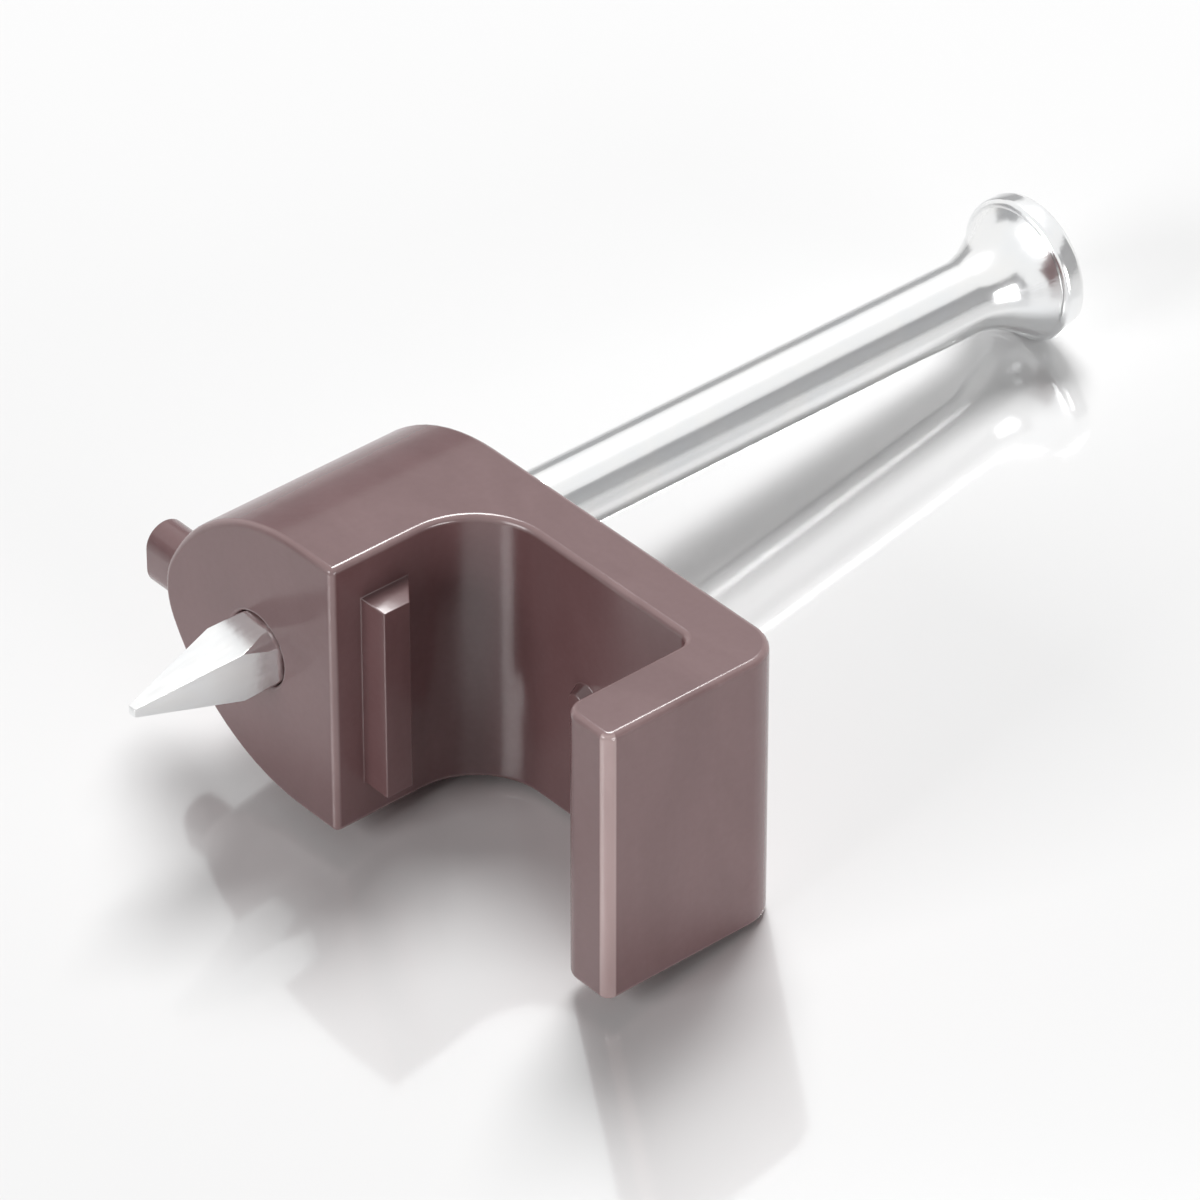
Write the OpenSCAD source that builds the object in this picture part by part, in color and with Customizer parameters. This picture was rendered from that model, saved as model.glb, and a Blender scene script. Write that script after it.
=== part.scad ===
// Nail-in cable clip: a moulded saddle that hooks over one cable, with the nail that fixes it to a wall.
// Origin on the nail's axis, in the plane of the wall. +X runs from the nail to the far leg,
// +Y from the wall out to the nail's head, and Z along the cable. All lengths are in millimetres.

/* [Cable channel] */
// Clear width of the channel between the nail boss and the far leg
channel_w = 7.7; // [5.7:0.1:9.7]
// Clear depth of the channel, from the wall to the roof
channel_depth = 4.8; // [4:0.1:7]
// Length of the clip along the cable
clip_len = 8; // [6.6:0.1:9.6]

/* [Roof and leg] */
// Thickness of the roof over the cable
roof_t = 1.6; // [1.2:0.1:2.4]
// Thickness of the far leg
leg_t = 1.7; // [1.2:0.1:2.4]
// How far the leg's foot stops short of the wall
foot_gap = 0.7; // [0.2:0.1:1.4]
// Fillet under the roof, at the boss
boss_fillet = 2; // [0.5:0.1:2.6]
// Fillet under the roof, at the leg
leg_fillet = 0.4; // [0.2:0.1:1]
// Rounding of the outer corner of roof and leg
shoulder_r = 1.1; // [0.3:0.1:1.4]
// Rounding of the foot's edge towards the cable
foot_inner_r = 0.55; // [0.2:0.05:0.8]
// Rounding of the foot's outer edge
foot_outer_r = 0.3; // [0.1:0.05:0.6]

/* [Nail boss] */
// Nail axis to the channel's side wall
boss_wall = 3; // [2.8:0.1:4.5]
// Nail axis to the point where the boss starts to narrow, towards the channel
nose_start = 1.6; // [0.5:0.1:2]
// Nail axis to the point where the two flanks of the nose would meet
nose_reach = 3.8; // [3.6:0.1:5]
// Rounding of the nose's tip
nose_tip_r = 2; // [0.5:0.1:2.5]
// Length of the tight bore that grips the nail, at the wall
grip_len = 2.4; // [1.5:0.1:3]
// Length of the conical seat between the grip and the recess
seat_len = 1.2; // [0.5:0.1:1.6]

/* [Cable rib] */
// How far the rib on the boss stands into the channel
rib_out = 0.9; // [0.3:0.05:1.2]
// Height of the rib's lower side above the wall
rib_y = 0.9; // [0.6:0.1:1.6]
// Height of the rib where it meets the boss
rib_h = 1.5; // [1.2:0.1:2]
// Height of the rib's flat crest
rib_crest = 0.8; // [0.3:0.1:1.1]
// Length of the rib along the cable
rib_len = 5.6; // [3:0.1:6.4]

/* [Mould marks] */
// Diameter of the pip under the roof, where it meets the roof
pip_d = 0.9; // [0.7:0.1:1.4]
// Diameter of the pip's flat end
pip_end_d = 0.6; // [0.3:0.1:0.7]
// Height of the pip
pip_h = 0.35; // [0.1:0.05:0.6]
// Width of the gate stub on the nose, along the cable
gate_w = 1.8; // [1.7:0.1:2.4]
// Thickness of the gate stub, along the nail
gate_t = 1.2; // [0.6:0.1:1.6]
// How far the gate stub stands out of the nose
gate_h = 1.1; // [0.2:0.1:1.5]
// Height of the gate stub's middle above the wall
gate_y = 0.9; // [0.8:0.1:3]

/* [Nail] */
// Diameter of the nail's shank
nail_d = 2; // [1.4:0.1:2.4]
// Length of the nail, from its point to the top of the head's rim
nail_len = 30; // [20:1:40]
// How far the point stands out beyond the wall side of the clip
point_out = 3.9; // [0.5:0.1:6]
// Length of the diamond point
point_len = 4.4; // [3:0.1:6]
// Half width of the blunt end of the point
point_blunt = 0.12; // [0.05:0.01:0.3]
// Diameter of the head
head_d = 4; // [3.4:0.1:4.4]
// Thickness of the head's rim
rim_t = 0.7; // [0.5:0.1:1.2]
// Rounding of the rim's edges
rim_r = 0.2; // [0.05:0.05:0.3]
// Rise of the head's domed top
dome_h = 0.45; // [0.2:0.05:0.8]
// Length of the cone under the head
neck_len = 1.4; // [0.8:0.1:2]

/* [Clearances] */
// Gap between the shank and the grip bore, all round
grip_gap = 0.02; // [0.01:0.01:0.05]
// Gap between the head and the recess that takes it, all round
head_room = 0.5; // [0.2:0.05:0.55]

/* [Hidden] */
$fn = 96;
// Overrun of every cutter past the face that it opens
cut = 1;
clip_brown = [0.44, 0.33, 0.34];
zinc_silver = [0.78, 0.79, 0.80];

body_h = channel_depth + roof_t;
leg_x = boss_wall + channel_w;
outer_x = leg_x + leg_t;
half_len = clip_len / 2;

// The nose is two equal arcs, tangent to the boss's flat sides, with a rounded tip inscribed between them
nose_len = nose_start + nose_reach;
flank_r = (half_len * half_len + nose_len * nose_len) / clip_len;
flank_z = flank_r - half_len;
tip_x = nose_start - sqrt(pow(flank_r - nose_tip_r, 2) - flank_z * flank_z);
tangent_x = nose_start + flank_r * (tip_x - nose_start) / (flank_r - nose_tip_r);

grip_r = nail_d / 2 + grip_gap;
recess_r = head_d / 2 + head_room;
recess_y = grip_len + seat_len;

shank_r = nail_d / 2;
head_r = head_d / 2;
// Places along the nail are measured from its point
rim_top = nail_len;
rim_under = rim_top - rim_t;
neck_under = rim_under - neck_len;
neck_r = head_r - rim_r;
dome_r = (neck_r * neck_r + dome_h * dome_h) / (2 * dome_h);

// The sliver between a square corner at the origin and its rounding, for filling or trimming corners
module corner_sliver(r) {
    difference() {
        square(r);
        translate([r, r])
            circle(r);
    }
}

// Cross-section of roof and leg, seen along the cable
module arch_section() {
    difference() {
        translate([nose_start, foot_gap])
            square([outer_x - nose_start, body_h - foot_gap]);
        translate([nose_start - cut, -cut])
            square([leg_x - nose_start + cut, channel_depth + cut]);
        translate([outer_x, body_h])
            rotate(180)
                corner_sliver(shoulder_r);
        translate([leg_x, foot_gap])
            corner_sliver(foot_inner_r);
        translate([outer_x, foot_gap])
            rotate(90)
                corner_sliver(foot_outer_r);
    }
    translate([boss_wall, channel_depth])
        rotate(-90)
            corner_sliver(boss_fillet);
    translate([leg_x, channel_depth])
        rotate(180)
            corner_sliver(leg_fillet);
}

// Outline of the boss, seen along the nail: flat sides that run into a pointed arch with a rounded tip
module boss_plan() {
    translate([nose_start, -half_len])
        square([boss_wall - nose_start, clip_len]);
    intersection() {
        translate([nose_start, -flank_z])
            circle(flank_r);
        translate([nose_start, flank_z])
            circle(flank_r);
        translate([tangent_x, -half_len])
            square([nose_start - tangent_x, clip_len]);
    }
    translate([tip_x, 0])
        circle(nose_tip_r);
}

// Turns a shape drawn with Z along the nail so that it stands along +Y from the wall
module along_nail(from_y = 0) {
    translate([0, from_y, 0])
        rotate([-90, 0, 0])
            children();
}

module boss() {
    along_nail()
        linear_extrude(body_h)
            boss_plan();
}

// Tight bore at the wall, a conical seat, and the wide recess that swallows the head once it is driven
module nail_passage() {
    along_nail(-cut)
        cylinder(h = grip_len + 2 * cut, r = grip_r);
    along_nail(grip_len)
        cylinder(h = seat_len, r1 = grip_r, r2 = recess_r);
    along_nail(recess_y)
        cylinder(h = body_h - recess_y + cut, r = recess_r);
}

// Rib on the boss that narrows the channel's mouth and keeps the cable in: square below, sloping above
module cable_rib() {
    linear_extrude(rib_len, center = true)
        polygon([
            [nose_start, rib_y],
            [boss_wall + rib_out, rib_y],
            [boss_wall + rib_out, rib_y + rib_crest],
            [boss_wall, rib_y + rib_h],
            [nose_start, rib_y + rib_h]
        ]);
}

// Pip in the middle of the roof's inner face, a blunt cone that goes on into the roof by its own height
module roof_pip() {
    translate([boss_wall + channel_w / 2, 0, 0])
        along_nail(channel_depth - pip_h)
            cylinder(h = 2 * pip_h, d1 = pip_end_d, d2 = 2 * pip_d - pip_end_d);
}

// Section of the gate, a flat bar with round edges
module gate_section() {
    flat_w = gate_w - gate_t;
    square([flat_w, gate_t], center = true);
    for (edge_x = [-flat_w / 2, flat_w / 2])
        translate([edge_x, 0])
            circle(d = gate_t);
}

// Stub of the gate at the tip of the nose, rooted in it by its own width
module gate_stub() {
    translate([tip_x - nose_tip_r - gate_h, gate_y, 0])
        rotate([0, 90, 0])
            linear_extrude(gate_h + gate_w)
                gate_section();
}

// One moulding: boss, roof, leg and cable rib, with the passage for the nail
module clip_body() {
    color(clip_brown)
        difference() {
            union() {
                boss();
                linear_extrude(clip_len, center = true)
                    arch_section();
                cable_rib();
                roof_pip();
                gate_stub();
            }
            nail_passage();
        }
}

// Side view of the shank between two facets of its point, wider than the shank past the facets
module point_wedge() {
    facet_slope = (shank_r - point_blunt) / point_len;
    full_w = head_r + cut;
    full_at = (full_w - point_blunt) / facet_slope;
    linear_extrude(2 * full_w, center = true)
        polygon([
            [-point_blunt, 0],
            [point_blunt, 0],
            [full_w, full_at],
            [full_w, nail_len + full_at],
            [-full_w, nail_len + full_at],
            [-full_w, full_at]
        ]);
}

// Round shank with four facets that meet in a blunt diamond point
module shank() {
    intersection() {
        cylinder(h = neck_under, r = shank_r);
        rotate([90, 0, 0])
            point_wedge();
        rotate([90, 0, 90])
            point_wedge();
    }
}

// Section of the head's rim with both edges rounded
module rim_section() {
    square([head_r - rim_r, rim_t]);
    translate([0, rim_r])
        square([head_r, rim_t - 2 * rim_r]);
    for (edge_y = [rim_r, rim_t - rim_r])
        translate([head_r - rim_r, edge_y])
            circle(rim_r);
}

module head() {
    translate([0, 0, neck_under])
        cylinder(h = neck_len, r1 = shank_r, r2 = neck_r);
    translate([0, 0, rim_under])
        rotate_extrude()
            rim_section();
    intersection() {
        translate([0, 0, rim_top + dome_h - dome_r])
            sphere(dome_r);
        translate([0, 0, rim_under])
            cylinder(h = rim_t + dome_h + cut, r = neck_r);
    }
}

module nail() {
    color(zinc_silver)
        along_nail(-point_out) {
            shank();
            head();
        }
}

clip_body();
nail();
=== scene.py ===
# Nail-in cable clip: a brown moulded saddle with its zinc-plated nail, lying on a white table.
# All sizes are in metres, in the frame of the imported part: nail along Y, cable along Z.

from math import asin, atan2, cos, radians, sin

import bmesh
import bpy
from mathutils import Matrix, Vector, noise


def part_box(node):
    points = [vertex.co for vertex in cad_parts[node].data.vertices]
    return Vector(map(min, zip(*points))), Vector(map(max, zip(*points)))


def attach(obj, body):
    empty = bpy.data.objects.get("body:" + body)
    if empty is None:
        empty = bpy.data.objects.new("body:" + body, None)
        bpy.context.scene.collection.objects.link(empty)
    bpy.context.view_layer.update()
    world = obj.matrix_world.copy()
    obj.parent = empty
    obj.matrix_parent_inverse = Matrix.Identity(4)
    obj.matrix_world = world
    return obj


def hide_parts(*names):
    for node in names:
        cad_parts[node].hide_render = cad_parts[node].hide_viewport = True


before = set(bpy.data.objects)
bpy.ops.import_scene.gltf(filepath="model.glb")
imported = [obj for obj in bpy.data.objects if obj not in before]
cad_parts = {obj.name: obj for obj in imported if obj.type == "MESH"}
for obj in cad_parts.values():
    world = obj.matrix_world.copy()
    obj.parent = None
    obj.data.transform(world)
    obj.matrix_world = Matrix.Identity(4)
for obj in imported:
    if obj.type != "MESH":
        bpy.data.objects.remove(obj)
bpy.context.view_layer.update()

# The clip
# One injection moulding in chocolate-brown plastic: a nail boss with a pointed nose, a roof and a far leg.
# It leaves the mould with softened edges and a torn gate stub, and it holds its nail by friction alone.
mm = 0.001
near = 0.02 * mm
merge_dist = 0.001 * mm
sharp_angle = radians(35)
flat_angle = radians(1)
clip_low, clip_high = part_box("clip_body")
recess_r = 2.5 * mm

# How round each kind of edge is, and how pale it is rubbed along its crown, from 0 to 1
outer_edge_r = 0.18 * mm
outer_wear = 0.3
passage_edge_r = 0.12 * mm
passage_wear = 0.2
small_edge_r = 0.07 * mm
small_wear = 0.1
edge_segments = 4

# Small features that get finer edges, each as the two corners of a box round it
rib_box = (Vector((2.9, 0.8, -2.9)) * mm, Vector((4.0, 2.5, 2.9)) * mm)
pip_box = (Vector((6.3, 4.3, -0.6)) * mm, Vector((7.4, 4.9, 0.6)) * mm)
gate_box = (Vector((-4.9, 0.2, -1.0)) * mm, Vector((-3.3, 1.6, 1.0)) * mm)


def middle(edge):
    return (edge.verts[0].co + edge.verts[1].co) / 2


def inside(point, box):
    low, high = box
    return all(low[i] <= point[i] <= high[i] for i in range(3))


def on_small_feature(edge):
    return any(inside(middle(edge), box) for box in (rib_box, pip_box, gate_box))


def in_passage(edge):
    return middle(edge).xz.length < recess_r + near


def at_passage_mouth(edge):
    return in_passage(edge) and not clip_low.y + near < middle(edge).y < clip_high.y - near


def sharp_edges(shape):
    return [e for e in shape.edges if abs(e.calc_face_angle_signed()) > sharp_angle]


def round_edges(shape, edges, radius, wear):
    """Rounds these edges and writes how pale they are along the crown, in the shape's layer of rubbed wear
    and painted highlight.
    """
    wear_and_highlight = shape.verts.layers.float["wear_and_highlight"]
    made = bmesh.ops.bevel(
        shape, geom=edges, offset=radius, offset_type="OFFSET", affect="EDGES",
        segments=edge_segments, profile=0.5, material=-1, clamp_overlap=True,
    )
    rounding = set(made["faces"])
    for vert in made["verts"]:
        if all(face in rounding for face in vert.link_faces):
            vert[wear_and_highlight] = wear


clip = bmesh.new()
clip.from_mesh(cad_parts["clip_body"].data)
bmesh.ops.remove_doubles(clip, verts=clip.verts, dist=merge_dist)
bmesh.ops.dissolve_limit(clip, angle_limit=flat_angle, verts=clip.verts, edges=clip.edges)
clip.verts.layers.float.new("wear_and_highlight")
outer_edges = [
    e for e in sharp_edges(clip)
    if e.calc_face_angle_signed() > 0 and not on_small_feature(e) and not in_passage(e)
]
round_edges(clip, outer_edges, outer_edge_r, outer_wear)
round_edges(clip, [e for e in sharp_edges(clip) if at_passage_mouth(e)], passage_edge_r, passage_wear)
round_edges(clip, [e for e in sharp_edges(clip) if on_small_feature(e)], small_edge_r, small_wear)

# The foot's outer edge is moulded round and painted palest: some rubbed wear, and a painted highlight along
# it
foot_y = 0.7 * mm
foot_round = 0.28 * mm
foot_wear_and_highlight = 1.0
for vert in clip.verts:
    on_foot_edge = vert.co.x > clip_high.x - foot_round and vert.co.y < foot_y + foot_round
    on_end_face = abs(vert.co.z) > clip_high.z - near
    if on_foot_edge and not on_end_face:
        vert[clip.verts.layers.float["wear_and_highlight"]] = foot_wear_and_highlight

# The gate was twisted off, so the end of its stub is torn and uneven
torn_rings = 4
torn_step = 0.12 * mm
torn_depth = 0.12 * mm
torn_grain = 6000
gate_end = min(clip.faces, key=lambda face: face.calc_center_median().x)
for _ in range(torn_rings):
    bmesh.ops.inset_region(clip, faces=[gate_end], thickness=torn_step, use_even_offset=True)
    for vert in gate_end.verts:
        vert.co.x += torn_depth * abs(noise.noise(vert.co * torn_grain))


class Wire:
    """One output socket of a shader tree, for writing shader maths as plain expressions."""

    def __init__(self, socket):
        self.socket = socket
        self.tree = socket.id_data

    def node(self, kind, settings=None, sockets=None, output=0):
        """Adds a node, sets its settings first and then the values or links of its sockets."""
        made = self.tree.nodes.new(kind)
        for name, value in (settings or {}).items():
            setattr(made, name, value)
        for name, value in (sockets or {}).items():
            if isinstance(value, Wire):
                self.tree.links.new(value.socket, made.inputs[name])
            else:
                made.inputs[name].default_value = value
        return Wire(made.outputs[output])

    def math(self, operation, first, second):
        return self.node("ShaderNodeMath", {"operation": operation}, {0: first, 1: second})

    def __add__(self, other):
        return self.math("ADD", self, other)

    def __radd__(self, other):
        return self.math("ADD", other, self)

    def __sub__(self, other):
        return self.math("SUBTRACT", self, other)

    def __rsub__(self, other):
        return self.math("SUBTRACT", other, self)

    def __mul__(self, other):
        return self.math("MULTIPLY", self, other)

    def __rmul__(self, other):
        return self.math("MULTIPLY", other, self)

    def between(self, first, second):
        """A colour that goes from first to second as this value goes from 0 to 1."""
        return self.node("ShaderNodeMix", {"data_type": "RGBA"}, {0: self, 6: first, 7: second}, 2)

    def stretched(self, scale):
        return self.node("ShaderNodeMapping", {}, {"Vector": self, "Scale": scale})

    def mottle(self, scale, detail, distortion=0.0):
        """Soft noise from 0 to 1, with features about 1 / scale across."""
        sockets = {"Vector": self, "Scale": scale, "Detail": detail, "Distortion": distortion}
        return self.node("ShaderNodeTexNoise", {}, sockets)

    def relief(self):
        """The normal of a surface that stands as high as this value, in metres."""
        return self.node("ShaderNodeBump", {}, {"Height": self, "Distance": 1.0})

    def into(self, shader, name):
        self.tree.links.new(self.socket, shader.inputs[name])


def shade(red, green, blue):
    """A screen colour, from 0 to 255, as the linear colour that a shader takes, by the sRGB curve."""
    return (*(((c / 255 + 0.055) / 1.055) ** 2.4 for c in (red, green, blue)), 1)


def new_material(name):
    """A new material and its shader."""
    material = bpy.data.materials.new(name)
    material.use_nodes = True
    return material, material.node_tree.nodes["Principled BSDF"]


def place_on(material):
    """The place on a piece of this material, in the part's own frame, as a Wire."""
    return Wire(material.node_tree.nodes.new("ShaderNodeTexCoord").outputs["Object"])


def add_object(name, shape, material):
    """Turns a finished bmesh into an object of the scene."""
    mesh = bpy.data.meshes.new(name)
    shape.to_mesh(mesh)
    shape.free()
    mesh.materials.append(material)
    made = bpy.data.objects.new(name, mesh)
    bpy.context.scene.collection.objects.link(made)
    return made


def add_piece(name, shape, material):
    """Turns a finished bmesh into a smooth shaded piece of the part, with its flats kept flat."""
    piece = add_object(name, shape, material)
    piece.data.shade_smooth()
    even_normals = piece.modifiers.new("even_normals", "WEIGHTED_NORMAL")
    even_normals.weight = 100
    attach(piece, "root")
    return piece


# Flow marks are drawn out along the cable, and the mould's walls leave a fine grain and slow waves
brown_light = shade(127, 95, 96)
brown_dark = shade(106, 75, 76)
# Pale edge colour: rubbed wear on the edges, plus a painted highlight along the foot's outer edge
brown_wear_and_highlight = shade(210, 184, 182)
flow_stretch = (1.0, 2.2, 0.6)
flow_scale = 260
flow_share = 0.75
speckle_scale = 5200
grain_scale = 7000
grain_height = 0.0012 * mm
wave_scale = 320
wave_height = 0.012 * mm
least_wear_and_highlight = 0.2
plastic_roughness = 0.15
flow_roughness = 0.08
grain_roughness = 0.03
rubbed_polish = 0.02
brown_plastic, plastic = new_material("brown_plastic")
place = place_on(brown_plastic)
flow = place.stretched(flow_stretch).mottle(flow_scale, detail=3.0, distortion=1.2)
speckle = place.mottle(speckle_scale, detail=2.0)
grain = place.mottle(grain_scale, detail=1.0)
waves = place.mottle(wave_scale, detail=1.0)
wear_and_highlight = place.node("ShaderNodeAttribute", {"attribute_name": "wear_and_highlight"}, output=2)
tone = (flow * flow_share + speckle * (1 - flow_share)).between(brown_dark, brown_light)
# Edges are painted pale by the layer: rubbed wear, plus a painted highlight along the foot's outer edge
paleness = wear_and_highlight * (least_wear_and_highlight + flow * (1 - least_wear_and_highlight))
paleness.between(tone, brown_wear_and_highlight).into(plastic, "Base Color")
unpolished = plastic_roughness + flow * flow_roughness + grain * grain_roughness
(unpolished - wear_and_highlight * rubbed_polish).into(plastic, "Roughness")
(grain * grain_height + waves * wave_height).relief().into(plastic, "Normal")
plastic.inputs["Specular IOR Level"].default_value = 0.8

moulded_clip = add_piece("moulded_clip", clip, brown_plastic)
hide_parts("clip_body")

# The nail
# A hardened steel nail, cold-headed from drawn wire and plated with bright zinc: round shank, diamond point
# pinched off by four cutters, a cone under the head and a low dome on it. The clip's tight bore holds it.
nail_low, nail_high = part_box("nail")
head_r = nail_high.z
shank_r = 1.0 * mm
neck_r = 1.8 * mm
dome_h = 0.45 * mm
dome_steps = 8
rim_t = 0.7 * mm
rim_round = 0.19 * mm
rim_segments = 5
neck_len = 1.4 * mm
neck_round = 0.5 * mm
neck_segments = 6
point_len = 4.4 * mm
nail_sides = 96
dome_r = (neck_r ** 2 + dome_h ** 2) / (2 * dome_h)
rim_top = nail_high.y - dome_h
rim_under = rim_top - rim_t
neck_under = rim_under - neck_len
point_top = nail_low.y + point_len

nail = bmesh.new()
top = nail.verts.new((0, nail_high.y, 0))
dome = bmesh.ops.spin(
    nail, geom=[top], cent=(0, nail_high.y - dome_r, 0), axis=(0, 0, -1),
    angle=asin(neck_r / dome_r), steps=dome_steps,
)
last = dome["geom_last"][0]
profile = [
    (head_r, rim_top), (head_r, rim_under), (neck_r, rim_under), (shank_r, neck_under),
    (shank_r, point_top), (shank_r, nail_low.y), (0, nail_low.y),
]
for radius, height in profile:
    following = nail.verts.new((radius, height, 0))
    nail.edges.new((last, following))
    last = following
bmesh.ops.spin(
    nail, geom=nail.verts[:] + nail.edges[:], axis=(0, 1, 0), angle=radians(360),
    steps=nail_sides, use_merge=True,
)
bmesh.ops.remove_doubles(nail, verts=nail.verts, dist=merge_dist)
bmesh.ops.recalc_face_normals(nail, faces=nail.faces)


def ring_edges(shape, radius, height):
    """The edges of the turned ring at this radius and height."""
    return [
        e for e in shape.edges
        if all(abs(v.co.y - height) < near and abs(v.co.xz.length - radius) < near for v in e.verts)
    ]


def soften_ring(shape, radius, height, rounding, segments):
    bmesh.ops.bevel(
        shape, geom=ring_edges(shape, radius, height), offset=rounding, offset_type="OFFSET",
        affect="EDGES", segments=segments, profile=0.5, material=-1,
    )


soften_ring(nail, head_r, rim_top, rim_round, rim_segments)
soften_ring(nail, head_r, rim_under, rim_round, rim_segments)
soften_ring(nail, shank_r, neck_under, neck_round, neck_segments)

# Each cutter leaves one flat facet, from the full shank to the blunt end of the point
point_facets = 4
point_blunt = 0.12 * mm
point_round = 0.05 * mm
point_segments = 2
cut_dist = 0.0001 * mm
for side in range(point_facets):
    turn = Matrix.Rotation(radians(360 / point_facets * side), 3, "Y")
    facet_out = turn @ Vector((point_len, point_blunt - shank_r, 0)).normalized()
    facet_at = turn @ Vector((point_blunt, nail_low.y, 0))
    cut = bmesh.ops.bisect_plane(
        nail, geom=nail.verts[:] + nail.edges[:] + nail.faces[:], dist=cut_dist,
        plane_co=facet_at, plane_no=facet_out, clear_outer=True,
    )
    facet_outline = [e for e in cut["geom_cut"] if isinstance(e, bmesh.types.BMEdge)]
    bmesh.ops.contextual_create(nail, geom=facet_outline)
bmesh.ops.remove_doubles(nail, verts=nail.verts, dist=merge_dist)
bmesh.ops.recalc_face_normals(nail, faces=nail.faces)
point_edges = [
    e for e in sharp_edges(nail)
    if e.calc_face_angle_signed() > 0 and middle(e).y < point_top + near
]
bmesh.ops.bevel(
    nail, geom=point_edges, offset=point_round, offset_type="OFFSET", affect="EDGES",
    segments=point_segments, profile=0.5, material=-1, clamp_overlap=True,
)

# Drawing the wire left fine lines along it, and the zinc lies on it in faint warm and cold patches
zinc_cold = (0.84, 0.86, 0.88, 1)
zinc_warm = (0.91, 0.90, 0.88, 1)
drawn_stretch = (1.0, 0.012, 1.0)
drawn_scale = 5200
drawn_height = 0.004 * mm
patch_scale = 700
patch_height = 0.006 * mm
zinc_roughness = 0.1
drawn_roughness = 0.1
patch_roughness = 0.05
zinc_plate, plate = new_material("zinc_plate")
place = place_on(zinc_plate)
drawn = place.stretched(drawn_stretch).mottle(drawn_scale, detail=3.0)
patches = place.mottle(patch_scale, detail=3.0, distortion=0.6)
patches.between(zinc_cold, zinc_warm).into(plate, "Base Color")
(zinc_roughness + drawn * drawn_roughness + patches * patch_roughness).into(plate, "Roughness")
(drawn * drawn_height + patches * patch_height).relief().into(plate, "Normal")
plate.inputs["Metallic"].default_value = 1.0

zinc_nail = add_piece("zinc_nail", nail, zinc_plate)
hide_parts("nail")

# The table
# A glossy white sheet under the part, which rests on the lower edge of its roof and on the nail's head.
# The nail tips the part, so in the part's own frame the sheet rises a little towards the head.
table_half = 1.5
roof_edge = Vector((0, clip_high.y, clip_low.z))
head_edge = Vector((0, rim_top - rim_round, -head_r))
table_rise = atan2(head_edge.z - roof_edge.z, head_edge.y - roof_edge.y)
table_shape = bmesh.new()
bmesh.ops.create_grid(table_shape, x_segments=1, y_segments=1, size=table_half)
bmesh.ops.rotate(table_shape, matrix=Matrix.Rotation(table_rise, 3, "X"), verts=table_shape.verts)
bmesh.ops.translate(table_shape, vec=roof_edge, verts=table_shape.verts)
white_sheet, sheet = new_material("white_sheet")
sheet.inputs["Base Color"].default_value = (0.92, 0.92, 0.92, 1)
sheet.inputs["Roughness"].default_value = 0.08
sheet.inputs["IOR"].default_value = 2.4
table = add_object("table", table_shape, white_sheet)

# The studio
# A white tent with soft boxes overhead, off the wall face and off the far leg. Darker cards round the
# table, out of the camera's sight, give the bright nail its grey streaks.
scene = bpy.context.scene
scene.view_settings.view_transform = "Standard"
tent_light = 0.1
tent = bpy.data.worlds.new("tent")
tent.use_nodes = True
scene.world = tent
tent_back = tent.node_tree.nodes["Background"]
rays = tent.node_tree.nodes.new("ShaderNodeLightPath").outputs
seen = Wire(rays["Is Camera Ray"]) + Wire(rays["Is Glossy Ray"]) + Wire(rays["Is Transmission Ray"])
seen = seen.node("ShaderNodeClamp", {}, {"Value": seen})
tent_back.inputs["Color"].default_value = (1, 1, 1, 1)
(tent_light + seen * (1 - tent_light)).into(tent_back, "Strength")

subject = Vector((5, 7, 0)) * mm
box_distance = 0.4


def soft_box(name, direction, size, power):
    """Hangs an area lamp in this direction from the part, facing it."""
    lamp = bpy.data.lights.new(name, "AREA")
    lamp.shape = "RECTANGLE"
    lamp.size, lamp.size_y = size
    lamp.energy = power
    box = bpy.data.objects.new(name, lamp)
    toward = Vector(direction).normalized()
    box.location = subject + toward * box_distance
    box.rotation_mode = "QUATERNION"
    box.rotation_quaternion = toward.to_track_quat("Z", "Y")
    scene.collection.objects.link(box)


soft_box("overhead_box", direction=(-0.3, 0.33, 0.89), size=(0.16, 0.16), power=1.4)
soft_box("front_box", direction=(-0.1, -0.9, 0.35), size=(0.2, 0.16), power=0.58)
soft_box("right_box", direction=(1.0, 0.0, 0.14), size=(0.2, 0.1), power=0.5)

# Where each card starts and ends in degrees round the table from +X towards +Y, and its lower and upper edge
cards = [(-30, 66, 0.0, 0.33), (136, 162, -0.1, 0.2), (208, 236, -0.2, 0.2)]
card_r = 0.45
card_steps = 12
dark_card, card = new_material("dark_card")
card.inputs["Base Color"].default_value = (0.6, 0.6, 0.61, 1)
card.inputs["Roughness"].default_value = 0.9
for number, (start, end, low, high) in enumerate(cards):
    card_shape = bmesh.new()
    foot = card_shape.verts.new((card_r * cos(radians(start)), card_r * sin(radians(start)), low))
    head = card_shape.verts.new((foot.co.x, foot.co.y, high))
    upright = card_shape.edges.new((foot, head))
    bmesh.ops.spin(
        card_shape, geom=[foot, head, upright], axis=(0, 0, 1), angle=radians(end - start),
        steps=card_steps,
    )
    flag = add_object(f"dark_card_{number}", card_shape, dark_card)
    flag.visible_camera = False
    flag.visible_diffuse = False
    flag.visible_shadow = False

# The camera
# A long lens at the photograph's angle, close enough to keep its perspective and framed on the part.
view_azimuth = radians(49.3)
view_elevation = radians(36.2)
view_distance = 0.217
framed_width = 0.0295
aim = Vector((4.96, 6.87, 0.98)) * mm
back = Vector((
    sin(view_azimuth) * cos(view_elevation),
    -cos(view_azimuth) * cos(view_elevation),
    sin(view_elevation),
))
lens = bpy.data.cameras.new("long_lens")
lens.lens = lens.sensor_width * view_distance / framed_width
lens.clip_start = 0.01
camera = bpy.data.objects.new("long_lens", lens)
camera.location = aim + back * view_distance
camera.rotation_mode = "QUATERNION"
camera.rotation_quaternion = (-back).to_track_quat("-Z", "Y")
scene.collection.objects.link(camera)
scene.camera = camera

# The scene brought up to date
bpy.context.view_layer.update()
